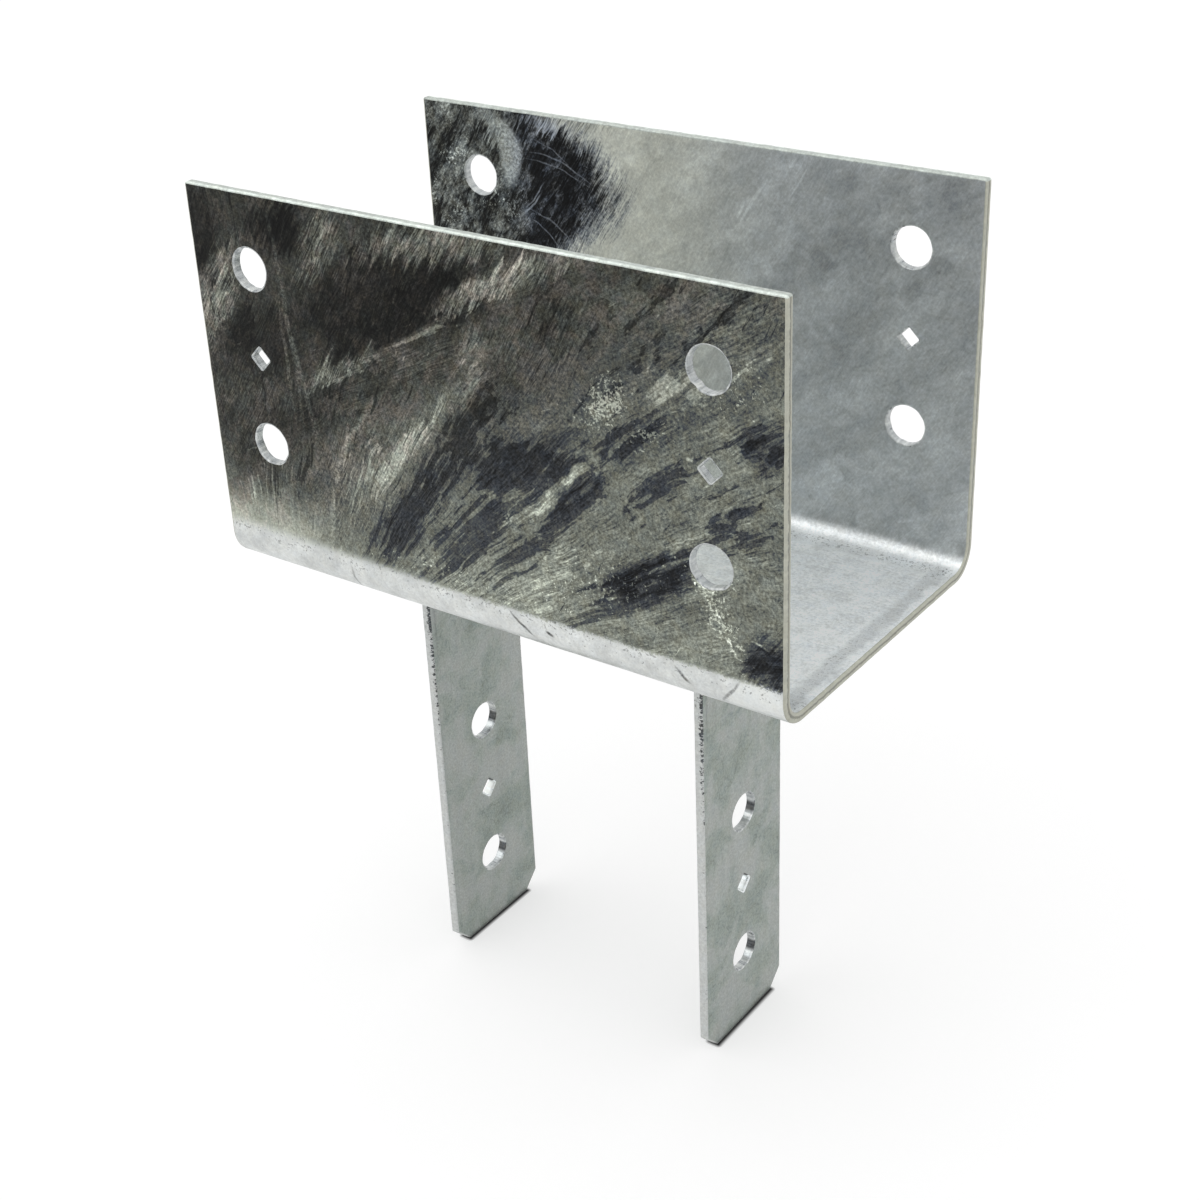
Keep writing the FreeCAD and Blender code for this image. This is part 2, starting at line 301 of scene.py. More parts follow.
def make_sheet(name, corners, holes, thickness, place, columns, rows, materials, lumps=()):
    """Sheet with round rims: upper skin, lower skin, outer rim and hole walls take the four materials."""
    outline = polygon_rim(corners, CORNER_ROUND, RIM_STEP, edge_dent)
    rims = [(outline, -1, 2)] + [(hole.rim, 1, 3) for hole in holes]
    relief = Relief(thickness, lumps)
    mesh = bmesh.new()

    def add(point, depth):
        return mesh.verts.new(place(point.x, point.y, relief.depth(point, depth)))

    upper, lower, points, bounds, owner = [], [], [], [], []
    for number, (rim, sign, material) in enumerate(rims):
        rings = [[add(point, depth) for point in rim(sign * widening)]
                 for widening, depth in rim_rows(thickness)]
        count = len(rings[0])
        following = [(i, (i + 1) % count) for i in range(count)]
        for ring, below in zip(rings, rings[1:]):
            for i, j in following:
                mesh.faces.new((ring[i], below[i], below[j], ring[j])).material_index = material
        bounds += [(len(points) + i, len(points) + j) for i, j in following]
        upper += rings[0]
        lower += rings[-1]
        points += rim(sign * EDGE_ROUND)
        owner += [number] * count

    inner = grid_points(corners, points, holes, lumps, columns, rows)
    upper += [add(point, thickness / 2) for point in inner]
    lower += [add(point, -thickness / 2) for point in inner]
    owner += [None] * len(inner)
    _, _, triangles, sources, _, _ = delaunay_2d_cdt(points + inner, bounds, [], INSIDE_ONLY, SAME_POINT)
    for triangle in triangles:
        a, b, c = (sources[corner][0] for corner in triangle)
        if owner[a] and owner[a] == owner[b] == owner[c]:
            continue
        mesh.faces.new((upper[a], upper[b], upper[c])).material_index = 0
        mesh.faces.new((lower[c], lower[b], lower[a])).material_index = 1
    bmesh.ops.recalc_face_normals(mesh, faces=mesh.faces)
    return finish_piece(name, mesh, materials)


def finish_piece(name, mesh, materials):
    """Turn a bmesh into a smooth object with its materials."""
    data = bpy.data.meshes.new(name)
    for face in mesh.faces:
        face.smooth = True
    mesh.to_mesh(data)
    mesh.free()
    piece = bpy.data.objects.new(name, data)
    bpy.context.scene.collection.objects.link(piece)
    for material in materials:
        data.materials.append(material)
    return piece


def hole_group(middle, bolts, down):
    """Two round holes, above each other about the middle, with a diamond between them."""
    half = Vector((0, bolts["dims"]["spacing_y_mm"] * MM / 2))
    radius = bolts["dims"]["hole_r_mm"] * MM
    across = DIAMOND_ACROSS / 2
    corners = [middle + Vector(corner) * across for corner in ((0, -1), (1, 0), (0, 1), (-1, 0))]
    diamond = polygon_rim(corners, DIAMOND_ROUND, RIM_STEP / 2, lambda place: 0.0)
    return [
        round_hole(middle - half, radius, down),
        Hole(diamond, middle, across),
        round_hole(middle + half, radius, down),
    ]


# Runs of zinc below the right holes of an outer side, and single lumps strewn over a side: millimetres along,
# as seen from outside, above the underside, and in height
ZINC_RUNS = [
    [(100, 55), (104, 51), (107, 47)],
    [(107, 47), (109, 40), (112, 34), (118, 28)],
    [(114, 43), (120, 41.5), (125, 40)],
    [(100, 32), (104, 27)],
    [(116, 35), (121, 33)],
]
RUN_RISE = (0.12, 0.26)
STREWN_LUMPS = 26
STREWN_ALONG = (-132, 134, 100)
STREWN_UP = (18, 162)
STREWN_RISE = (0.10, 0.22)
LUMP_SEED = 11


def zinc_lumps():
    """Lumps of zinc on the saddle's outer skin."""
    draw = random.Random(LUMP_SEED)
    lumps = []
    for side in (-1, 1):
        spots = []
        for run in ZINC_RUNS:
            for start, end in zip(run, run[1:]):
                start, end = Vector(start) * MM, Vector(end) * MM
                steps = max(1, round((end - start).length / LUMP_GAP))
                spots += [(start.lerp(end, step / steps), draw.uniform(*RUN_RISE)) for step in range(steps)]
        for _ in range(STREWN_LUMPS):
            spot = Vector((draw.triangular(*STREWN_ALONG), draw.uniform(*STREWN_UP))) * MM
            spots.append((spot, draw.uniform(*STREWN_RISE)))
        for spot, rise in spots:
            across = side * blank_height(SADDLE_LOW.z + spot.y)
            lumps.append(Lump(Vector((-side * spot.x, across)), -1, rise * MM))
    return lumps


def make_saddle(materials):
    """Folded saddle, made as a flat blank and folded up."""
    half_length = SADDLE_HIGH.x
    corners = [Vector((x * half_length, y * HALF_BLANK)) for x, y in ((-1, -1), (1, -1), (1, 1), (-1, 1))]
    bolts = MOUNTS["near_side_bolts"]
    half_apart = bolts["dims"]["spacing_x_mm"] * MM / 2
    middle = blank_height(bolts["pos_m"][2])
    holes = []
    for side in (-1, 1):
        for end in (-1, 1):
            holes += hole_group(Vector((end * half_apart, side * middle)), bolts, Vector((0, -side)))
    columns = spread(-half_length, half_length, GRID_STEP)
    side_rows = spread(SIDE_START, HALF_BLANK, GRID_STEP)
    fold_rows = spread(HALF_FLOOR, SIDE_START, FOLD_STEP)[:-1]
    floor_rows = spread(-HALF_FLOOR, HALF_FLOOR, GRID_STEP)[1:-1]
    up_rows = fold_rows + side_rows
    rows = [-row for row in reversed(up_rows)] + floor_rows + up_rows
    return make_sheet("galvanised_saddle", corners, holes, SADDLE_SHEET, fold_saddle,
                      columns, rows, materials, zinc_lumps())


def make_strap(name, node, mount, materials):
    """Flat strap with clipped feet and a hole group."""
    low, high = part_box(node)
    bolts = MOUNTS[mount]
    middle_x = (low.x + high.x) / 2
    corners = [Vector(corner) for corner in (
        (low.y + STRAP_CLIP, low.z), (high.y - STRAP_CLIP, low.z), (high.y, low.z + STRAP_CLIP),
        (high.y, high.z), (low.y, high.z), (low.y, low.z + STRAP_CLIP))]
    holes = hole_group(Vector((0, bolts["pos_m"][2])), bolts, Vector((0, -1)))

    def place(across, height, depth):
        return Vector((middle_x + depth, across, height))

    return make_sheet(name, corners, holes, high.x - low.x, place,
                      spread(low.y, high.y, GRID_STEP), spread(low.z, high.z, GRID_STEP), materials)


def make_weld(name, node, material):
    """Weld bead in the corner between a strap and the saddle, rippled, and rolled round at its ends."""
    low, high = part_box(node)
    side = math.copysign(1, low.x)
    root = min(abs(low.x), abs(high.x))
    leg = high.x - low.x
    half_run = high.y
    mesh = bmesh.new()
    rings = []
    for station in range(WELD_STATIONS + 1):
        y = half_run * math.sin(math.pi * (station / WELD_STATIONS - 0.5))
        from_end = half_run - abs(y)
        taper = math.sqrt(max(0.0, 1 - max(0.0, 1 - from_end / leg) ** 2))
        wobble = noise.noise(Vector((y / WOBBLE_LENGTH, side, 0))) * WELD_WOBBLE
        ripple = WELD_RIPPLE * abs(math.sin(math.pi * y / RIPPLE_LENGTH))
        reach = max(WELD_END, taper) * leg * (WELD_FILL + wobble - ripple)
        ring = [mesh.verts.new((side * root, y, high.z))]
        for step in range(WELD_STEPS + 1):
            turn = math.pi / 2 * step / WELD_STEPS
            flat = 1 / (math.cos(turn) + math.sin(turn))
            crown = flat + (1 - flat) * WELD_CROWN
            ring.append(mesh.verts.new((side * (root + reach * crown * math.cos(turn)), y,
                                        high.z - reach * crown * math.sin(turn))))
        rings.append(ring)
    count = len(rings[0])
    for ring, following in zip(rings, rings[1:]):
        for i in range(count):
            j = (i + 1) % count
            mesh.faces.new((ring[i], ring[j], following[j], following[i]))
    mesh.faces.new(rings[0])
    mesh.faces.new(reversed(rings[-1]))
    bmesh.ops.recalc_face_normals(mesh, faces=mesh.faces)
    return finish_piece(name, mesh, [material])


# Third number of a flat place, which keeps the noise of the two sides apart, and a scale that takes it out
SIDES_APART = 50.0
FLAT = 1e6


class Nodes:
    """Nodes of one tree. A value is a number, a tuple or another node's output."""

    def __init__(self, tree):
        self.tree = tree

    def put(self, socket, value):
        if isinstance(value, bpy.types.NodeSocket):
            self.tree.links.new(value, socket)
        else:
            socket.default_value = value

    def node(self, kind, values, **settings):
        made = self.tree.nodes.new(f"ShaderNode{kind}")
        for name, setting in settings.items():
            setattr(made, name, setting)
        for key, value in values.items():
            self.put(made.inputs[key], value)
        return made

    def math(self, operation, *values):
        return self.node("Math", dict(enumerate(values)), operation=operation).outputs[0]

    def total(self, first, *rest):
        """Sum of values. A pair counts as its product."""
        for value in rest:
            if isinstance(value, tuple):
                first = self.math("MULTIPLY_ADD", *value, first)
            else:
                first = self.math("ADD", first, value)
        return first

    def minus(self, value, other):
        return self.math("SUBTRACT", value, other)

    def size(self, value):
        return self.math("ABSOLUTE", value)

    def apart(self, value, other):
        return self.size(self.minus(value, other))

    def most(self, value, other=0.0):
        return self.math("MAXIMUM", value, other)

    def hypot(self, x, y):
        return self.math("SQRT", self.total(self.times(y, y), (x, x)))

    def times(self, value, factor):
        return self.math("MULTIPLY", value, factor)

    def vector(self, operation, *values):
        return self.node("VectorMath", dict(enumerate(values)), operation=operation).outputs[0]

    def dot(self, first, second):
        return self.node("VectorMath", {0: first, 1: second}, operation="DOT_PRODUCT").outputs["Value"]

    def scaled(self, vector, factor):
        return self.node("VectorMath", {"Vector": vector, "Scale": factor}, operation="SCALE").outputs[0]

    def join(self, x, y, z=0.0):
        return self.node("CombineXYZ", {"X": x, "Y": y, "Z": z}).outputs[0]

    def split(self, vector):
        return self.node("SeparateXYZ", {"Vector": vector}).outputs

    def remap(self, value, low, high, to_low=0.0, to_high=1.0, kind="SMOOTHSTEP"):
        """Value from one range to another, easing in and out at the ends."""
        ways = {"Value": value, "From Min": low, "From Max": high, "To Min": to_low, "To Max": to_high}
        return self.node("MapRange", ways, interpolation_type=kind, clamp=True).outputs[0]

    def ramp(self, *ways):
        """Value from one range to another, in a straight line between the ends."""
        return self.remap(*ways, kind="LINEAR")

    def swing(self, value):
        """A noise value as -1 to 1."""
        return self.ramp(value, 0.30, 0.70, -1, 1)

    def mix(self, share, low, high):
        return self.node("Mix", {0: share, 2: low, 3: high}, data_type="FLOAT").outputs[0]

    def blend(self, share, low, high):
        return self.node("Mix", {0: share, 6: low, 7: high}, data_type="RGBA").outputs[2]

    def noise(self, place, size, detail=2.0, rough=0.5):
        values = {"Vector": place, "Scale": 1 / size, "Detail": detail, "Roughness": rough}
        return self.node("TexNoise", values).outputs["Fac"]

    def wave(self, place, size, detail=2.0, rough=0.5):
        """Noise as -1 to 1."""
        return self.swing(self.noise(place, size, detail, rough))

    def drift(self, place, size, reach):
        """The place, shifted this way and that by up to about reach."""
        values = {"Vector": place, "Scale": 1 / size, "Detail": 2.0}
        shift = self.vector("SUBTRACT", self.node("TexNoise", values).outputs["Color"], (0.5, 0.5, 0.5))
        return self.vector("ADD", place, self.scaled(shift, 2 * reach))

    def local(self, place, turn, size=(1, 1), middle=(0, 0)):
        """The place as seen from a middle, turned by degrees and measured in sizes."""
        values = {"Vector": place, "Location": (*middle, 0), "Rotation": (0, 0, math.radians(turn)),
                  "Scale": (*size, 1)}
        return self.node("Mapping", values, vector_type="TEXTURE").outputs[0]

    def streaks(self, place, length, width, detail=2.0, rough=0.5, turn=None):
        """Noise that is drawn out along a direction in degrees."""
        if turn is None:
            seen = self.vector("MULTIPLY", place, (1 / length, 1 / width, 1))
        else:
            seen = self.local(place, turn, (length, width))
        return self.noise(seen, 1.0, detail, rough)

    def nearness(self, place, middle, turn, reach, fall=2.0):
        """1 in the middle of a flat ellipse, falling evenly to 0 at fall times its reach."""
        made = self.node("TexGradient", {"Vector": place}, gradient_type="SPHERICAL")
        made.texture_mapping.vector_type = "TEXTURE"
        made.texture_mapping.translation = (*middle, 0)
        made.texture_mapping.rotation = (0, 0, math.radians(turn))
        made.texture_mapping.scale = (fall * reach[0], fall * reach[1], FLAT)
        return made.outputs["Fac"]

    def bent_nearness(self, place, middle, turn, reach, keel, bend):
        """As nearness, for an ellipse that is bent and has a keel: a sharper edge on its lower side."""
        along, off, _ = self.split(self.local(place, turn, reach, middle))
        if bend:
            off = self.minus(off, self.times(self.times(along, along), bend))
        if keel:
            off = self.most(off, self.times(off, -keel))
        return self.total(1.0, (self.hypot(along, off), -0.5))


# Share of the zinc that mirrors like metal, gloss of the rest, how far the hue of dark zinc strays to brown
# and to blue, and the power that turns display greys into light
METAL_SHARE = 0.6
GLOSS = 0.2
HUE_STRAY = (0.11, 0.02, -0.14)
DISPLAY_POWER = 2.2
BUMP = 0.5


class Zinc(Nodes):
    """Nodes of a zinc finish: a place on the part, speckle and stray hues, and the shader."""

    def __init__(self, name):
        self.material = bpy.data.materials.new(name)
        self.material.use_nodes = True
        super().__init__(self.material.node_tree)
        self.shader = self.tree.nodes["Principled BSDF"]
        self.place = self.scaled(self.node("TexCoord", {}).outputs["Object"], TO_MM)
        self.speckle = self.wave(self.place, 1.3, 2.5, 0.75)

    def finish(self, tone, tint, rough, relief):
        """Zinc of a tone, in display greys, with its tint, roughness and relief in millimetres."""
        stray = self.wave(self.place, 7.0, 4.0, 0.75)
        stray = self.times(stray, self.ramp(tone, 0.2, 0.7, 1.0, 0.12))
        hue = self.vector("ADD", self.scaled(HUE_STRAY, stray), (1, 1, 1))
        level = self.math("POWER", self.most(tone), DISPLAY_POWER)
        colour = self.scaled(self.vector("MULTIPLY", tint, hue), level)
        self.put(self.shader.inputs["Base Color"], colour)
        self.shader.inputs["Metallic"].default_value = METAL_SHARE
        self.shader.inputs["Specular IOR Level"].default_value = GLOSS
        self.put(self.shader.inputs["Roughness"], rough)
        values = {"Strength": BUMP, "Distance": MM, "Height": relief}
        self.put(self.shader.inputs["Normal"], self.node("Bump", values).outputs[0])
        return self.material


class Frond(NamedTuple):
    """Row of a table of fronds: an ellipse of hair on a skin, in millimetres and degrees, with a soft edge.

    A keel sharpens its lower edge, and a bend bows it.
    """
    middle: tuple
    reach: tuple
    turn: float
    barbs: str
    tone: float
    contrast: float
    soft: float = 0.4
    keel: float = 0.0
    bend: float = 0.0


# Directions of the crystals' barbs in degrees from level, or None where they fan out from a point, with the
# streaks' length and width in millimetres, and how far the streaks feather the rims of fronds
BARBS = {"lean": (28, 60, 2.4), "steep": (58, 40, 2.0), "fan": (None, 80, 3.0)}
FAN_POINT = (-119, -70, 0)
FAN_REACH = 200.0
FEATHER = 20.0

# Sums of noise and push at which streaks begin to show and show in full, what they do to the tone, the push
# on pale streaks at rest, and the nearness at which a patch begins to push and pushes in full
DARK_SHOWS = (0.58, 0.63)
DARK_LOSS = -0.39
PALE_SHOWS = (0.4, 0.34)
PALE_RISE = 0.17
PALE_REST = -0.10
PUSH_EASE = (0.375, 0.825)

# Crumbs: loss of level per reach, reaches over which it lasts, softness, and rise of the tone
CRUMB_LOSS = 0.13
CRUMB_FALL = 8.0
CRUMB_EDGE = 0.12
CRUMB_RISE = 0.36


class Skin(Zinc):
    """Zinc on the inner or the outer skin of the saddle, with streaks and hair of each direction.

    Flat places are millimetres along, from left to right as seen, and up the side. Up runs on inwards below.
    """

    def __init__(self, name, outward):
        super().__init__(name)
        x, y, z = self.split(self.place)
        side = self.math("SIGN", y)
        inwards = self.most(self.minus(HALF_FLOOR * TO_MM, self.size(y)))
        self.along = self.times(x, self.times(side, -1.0) if outward else side)
        self.height = self.minus(self.minus(z, SADDLE_LOW.z * TO_MM), inwards)
        self.flat = self.join(self.along, self.height, self.times(side, SIDES_APART))
        self.plain = self.drift(self.flat, 14.0, 2.0)
        flow = self.drift(self.drift(self.flat, 45.0, 4.0), 8.0, 0.6)
        self.blades = {}
        self.hair = {"plain": self.speckle}
        self.feathered = {"plain": self.plain}
        self.layers = {}
        self.crumbs = self.noise(self.plain, 1.6, 2.0, 0.75)
        for name, (turn, length, width) in BARBS.items():
            combed, way = self.comb(flow, turn)
            self.hair[name] = self.swing(self.streaks(combed, 8.0, 0.6, 1.0, 0.6))
            blades = self.streaks(combed, length, width, 3.5, 0.6)
            self.blades[name] = self.total(blades, (self.hair[name], 0.03))
            wide = self.streaks(combed, 1.5 * length, 3.2 * width, 1.5)
            self.layers[name] = self.ramp(self.math("FRACT", self.times(wide, 3.0)), 0, 1, -1, 1)
            shift = self.scaled(way, self.ramp(self.blades[name], 0, 1, -FEATHER, FEATHER))
            self.feathered[name] = self.vector("ADD", self.plain, shift)

    def comb(self, place, turn):
        """Place measured along and across the barbs, and the way that they point."""
        if turn is not None:
            angle = math.radians(turn)
            return self.local(place, turn), self.join(math.cos(angle), math.sin(angle))
        x, y, z = self.split(self.vector("SUBTRACT", place, FAN_POINT))
        around = self.times(self.math("ARCTAN2", y, x), FAN_REACH)
        return self.join(self.hypot(x, y), around, z), self.vector("NORMALIZE", self.join(x, y))

    def crystals(self, barbs, turn, size):
        """Random numbers for each crystal."""
        values = {"Vector": self.local(self.feathered[barbs], turn, size), "Scale": 1.0}
        return self.split(self.node("TexVoronoi", values).outputs["Color"])

    def gather(self, biases, rest):
        """Sum of the pushes of soft patches, from a level at rest."""
        level = rest
        for middle, reach, turn, push in biases:
            near = self.nearness(self.plain, middle, turn, reach)
            level = self.total(level, self.remap(near, *PUSH_EASE, 0.0, push))
        return level

    def crumble(self, tone, patches):
        """Lay patches of pale crumbs over a tone; on the outer sides these are partly painted glints."""
        for middle, turn, reach, level in patches:
            near = self.nearness(self.plain, middle, turn, reach, CRUMB_FALL)
            seen = self.total(self.crumbs, (near, CRUMB_LOSS * CRUMB_FALL))
            level += CRUMB_LOSS * CRUMB_FALL
            tone = self.total(tone, (self.remap(seen, level, level + CRUMB_EDGE), CRUMB_RISE))
        return tone

    def dark(self, name, biases, rest):
        """Share of dark streaks of a direction."""
        return self.remap(self.total(self.blades[name], self.gather(biases, rest)), *DARK_SHOWS)

    def pale(self, name, biases):
        """Share of pale streaks of a direction."""
        return self.remap(self.minus(self.blades[name], self.gather(biases, PALE_REST)), *PALE_SHOWS)

    def lay(self, tone, fronds):
        """Lay fronds over a tone, one after another."""
        for row in fronds:
            frond = Frond(*row)
            place = self.feathered[frond.barbs]
            shape = place, frond.middle, frond.turn, frond.reach
            if frond.keel or frond.bend:
                near = self.bent_nearness(*shape, frond.keel, frond.bend)
            else:
                near = self.nearness(*shape)
            mask = self.remap(near, (1 - frond.soft) / 2, (1 + frond.soft) / 2)
            fill = self.total(frond.tone, (self.hair[frond.barbs], frond.contrast))
            tone = self.mix(mask, tone, fill)
        return tone


# Soft patches where streaks gather on an outer side: middle, reach, turn and push. Places are millimetres
# along from the middle, as seen from outside, and above the underside.
DARK_STREAKS = {
    "steep": [
        ((40, 146), (14, 16), -30, 0.16),
        ((22, 122), (26, 14), 40, 0.09),
        ((-76, 87), (24, 12), 15, 0.07),
        ((124, 160), (20, 10), 0, 0.1),
    ],
    "fan": [
        ((-16, 74), (58, 10), 49, 0.24),
        ((22, 84), (26, 12), 25, 0.22),
        ((-40, 38), (28, 10), 50, 0.2),
        ((8, 62), (52, 14), 45, 0.17),
        ((-5, 40), (36, 10), 45, 0.16),
        ((30, 51), (50, 6), 43, 0.2),
        ((48, 74), (18, 7), 42, 0.18),
        ((80, 48), (34, 10), 30, 0.22),
        ((58, 28), (36, 8), 32, 0.18),
        ((90, 88), (28, 9), 30, 0.19),
        ((131, 113), (16, 10), 25, 0.18),
        ((134, 25), (12, 13), 0, 0.2),
        ((116, 76), (28, 9), 30, 0.19),
        ((88, 148), (50, 18), 32, 0.13),
        ((66, 98), (40, 9), 36, 0.15),
        ((-98, 50), (24, 9), 45, 0.12),
    ],
}
DARK_REST = {"steep": -0.1, "fan": -0.055}
PALE_STREAKS = {
    "steep": [
        ((-128, 127), (24, 13), 60, 0.2),
        ((-70, 154), (15, 13), 60, 0.16),
        ((-15, 166), (34, 7), 8, 0.18),
        ((22, 158), (30, 8), 25, 0.18),
        ((-70, 103), (19, 7), 28, 0.2),
    ],
    "lean": [
        ((-38, 117), (54, 5), 31, 0.17),
    ],
    "fan": [
        ((-58, 62), (34, 18), 58, 0.16),
        ((-30, 80), (42, 5), 50, 0.24),
        ((26, 65), (44, 6), 38, 0.14),
        ((3, 120), (17, 7), 80, 0.18),
        ((30, 34), (50, 12), 35, 0.15),
        ((100, 66), (34, 10), 30, 0.13),
        ((86, 120), (40, 14), 35, 0.12),
        ((-112, 48), (32, 14), 45, 0.15),
        ((110, 140), (34, 14), 35, 0.12),
    ],
}

# Fronds of an outer side, each a row for Frond, laid one over another
SIDE_FRONDS = [
    # dark ground of the upper left
    ((-35, 137), (52, 23), 27, "steep", 0.12, 0.04),
    ((-137, 150), (14, 16), 0, "steep", 0.13, 0.03, 0.5),
    ((-90, 158), (17, 11), 0, "steep", 0.12, 0.04),
    ((-108, 105), (28, 18), 10, "steep", 0.16, 0.04),
    ((-74, 87), (25, 12), 15, "lean", 0.2, 0.04),
    ((-118, 74), (28, 18), 0, "steep", 0.23, 0.06, 0.6),
    # pale hair over it
    ((-128, 126), (26, 10), 62, "steep", 0.36, 0.14),
    ((-70, 155), (18, 8), 58, "steep", 0.32, 0.16, 0.5),
    ((-66, 101), (22, 6), 28, "steep", 0.36, 0.16, 0.4, 4.0),
    ((-10, 165), (38, 7), 12, "steep", 0.36, 0.14, 0.5),
    ((-30, 122), (40, 1.4), 31, "lean", 0.29, 0.06, 0.6),
    ((23, 152), (36, 9), 25, "steep", 0.44, 0.16, 0.3, 5.0),
    # brown ground below it
    ((-28, 111), (34, 9), 32, "lean", 0.27, 0.05, 0.6),
    ((30, 127), (36, 16), 40, "steep", 0.3, 0.06, 0.6),
    ((40, 146), (12, 15), -30, "steep", 0.25, 0.06, 0.5),
    ((110, 151), (34, 15), 30, "lean", 0.38, 0.06, 0.6),
    ((3, 120), (16, 6), 80, "steep", 0.41, 0.08, 0.5),
    # grey arch and the dark bands right of it
    ((-57, 60), (36, 20), 60, "steep", 0.39, 0.08, 0.5),
    ((-71, 60), (36, 1.4), 66, "plain", 0.5, 0.06, 0.6, 0.0, -4.5),
    ((-30, 81), (40, 5), 46, "fan", 0.45, 0.12, 0.5),
    ((-16, 72), (48, 7), 49, "fan", 0.3, 0.05),
    ((20, 85), (27, 10), 25, "fan", 0.28, 0.05),
    ((-42, 38), (24, 7), 50, "fan", 0.33, 0.05),
    # pale stripes and dark patches of the lower right
    ((30, 68), (42, 6), 36, "fan", 0.47, 0.05, 0.5),
    ((26, 34), (46, 12), 30, "fan", 0.49, 0.04, 0.6),
    ((50, 76), (15, 3), 42, "fan", 0.25, 0.04),
    ((82, 50), (28, 8), 28, "fan", 0.27, 0.05, 0.35),
    ((134, 25), (12, 14), 0, "steep", 0.24, 0.07, 0.3),
    ((131, 113), (12, 8), 20, "fan", 0.32, 0.05),
    # drips, and painted glints: painted highlights on zinc where it ran and set
    ((-90, 115), (45, 1.3), 94, "plain", 0.29, 0.05, 0.5, 0.0, 1.6),
    ((-84, 82), (34, 1.2), 104, "plain", 0.31, 0.05, 0.5, 0.0, -1.4),
    ((-94, 100), (32, 0.9), 92, "plain", 0.27, 0.05, 0.5, 0.0, -1.8),
    ((104, 53.5), (4.2, 1.1), -25, "plain", 0.7, 0.2, 0.6),
    ((111, 44), (7.0, 0.7), -64, "plain", 0.58, 0.2, 0.6),
    ((117, 31), (4.0, 0.7), -55, "plain", 0.64, 0.2, 0.6),
    ((129, 35), (3.0, 0.6), -20, "plain", 0.58, 0.15, 0.6),
    ((100, 103), (1.4, 1.0), 0, "plain", 0.75, 0.1, 0.6),
]

# Patches of pale crumbs: middle, turn, reach, and the level above which a crumb shows. On the outer sides
# they are partly zinc crumbs and partly painted glints.
SIDE_CRUMBS_AND_PAINTED_GLINTS = [
    ((64, 116), 50, (9, 6), 0.38),
    ((84, 108), 30, (14, 5), 0.49),
    ((112, 42), -60, (18, 6), 0.44),
    ((108, 60), 0, (14, 6), 0.48),
    ((122, 132), 30, (14, 9), 0.51),
    ((60, 40), 20, (40, 14), 0.53),
    ((-20, 26), 0, (60, 8), 0.55),
]
LINING_CRUMBS = [
    ((-123, 146), 10, (8, 4), 0.45),
    ((-137, 126), 80, (9, 3), 0.47),
    ((-92, 124), 45, (8, 4), 0.46),
    ((-126, 117), 60, (12, 6), 0.5),
    ((-104, 127), 30, (12, 5), 0.51),
]

# Marks on the outer bend
BEND_MARKS = [
    ((129, 6), (15, 13), 0, "plain", 0.92, 0.03, 0.15),
    ((115.5, 11), (7, 0.6), 55, "plain", 0.64, 0.15, 0.6),
    ((19, 12.5), (5.5, 0.5), -42, "plain", 0.46, 0.2, 0.7),
    ((33, 11.6), (1.6, 0.6), -20, "plain", 0.4, 0.2, 0.7),
    ((95, 12.3), (3.6, 0.6), -45, "plain", 0.5, 0.2, 0.7),
    ((-70, 9), (6.0, 0.6), 95, "plain", 0.7, 0.1, 0.6),
]

# Fronds and gathered streaks of an inner side
LINING_FRONDS = [
    ((-91, 153), (17, 6.5), 108, "plain", 0.6, 0.16, 0.3, 0.0, 1.1),
    ((-101, 160), (10, 2.5), 105, "steep", 0.5, 0.2, 0.5),
    ((-58, 168), (22, 4), 6, "steep", 0.62, 0.2, 0.6),
    # scratches
    ((-62, 150), (16, 0.4), -17, "plain", 0.4, 0.1, 0.6, 0.0, -8.0),
    ((-64, 147), (15, 0.35), -14, "plain", 0.37, 0.1, 0.6, 0.0, -6.0),
    ((-68, 155), (11, 0.3), -24, "plain", 0.36, 0.1, 0.6, 0.0, -5.0),
    ((-70, 122), (13, 0.4), -27, "plain", 0.39, 0.1, 0.6, 0.0, -5.0),
    ((-73, 117), (11, 0.35), -34, "plain", 0.37, 0.1, 0.6, 0.0, -4.0),
    ((-81, 127), (9, 0.4), 45, "plain", 0.5, 0.1, 0.6, 0.0, 1.0),
    ((-78, 132), (9, 0.35), 48, "plain", 0.46, 0.1, 0.6, 0.0, 1.0),
]
LINING_DARK = [
    ((77, 158), (12, 5), 20, 0.16),
    ((100, 157), (10, 8), 0, 0.14),
    ((80, 130), (28, 10), 30, 0.12),
    ((128, 154), (12, 15), 0, 0.12),
]
LINING_PALE = [
    ((33, 145), (18, 3), 60, 0.16),
    ((58, 160), (20, 9), 45, 0.14),
    ((-42, 124), (18, 7), 50, 0.18),
    ((-20, 135), (22, 14), 40, 0.05),
]

# Tints of the zinc: red, green, blue of an even grey
OLIVE = (0.985, 1.05, 0.89, 1)
BROWN = (1.08, 1.01, 0.88, 1)
STEEL = (0.9, 1.0, 1.15, 1)
WARM = (1.0, 1.03, 0.92, 1)
COOL = (0.97, 1.03, 1.05, 1)
SILVER = (0.99, 1.02, 1.0, 1)
GREEN = (0.97, 1.05, 0.98, 1)
CREAM = (1.02, 1.03, 0.88, 1)
ICE = (0.985, 1.02, 1.025, 1)
MIST = (0.98, 1.035, 0.99, 1)
MOSS = (0.94, 1.06, 0.97, 1)


def fold_place(zinc):
    """Radius from the fold's centre and turn round it: none on the floor, a quarter on the sides."""
    _, y, z = zinc.split(zinc.place)
    out = zinc.most(zinc.minus(zinc.size(y), HALF_FLOOR * TO_MM))
    drop = zinc.most(zinc.minus(FOLD_CENTRE * TO_MM, z))
    return zinc.hypot(out, drop), zinc.math("ARCTAN2", out, drop)


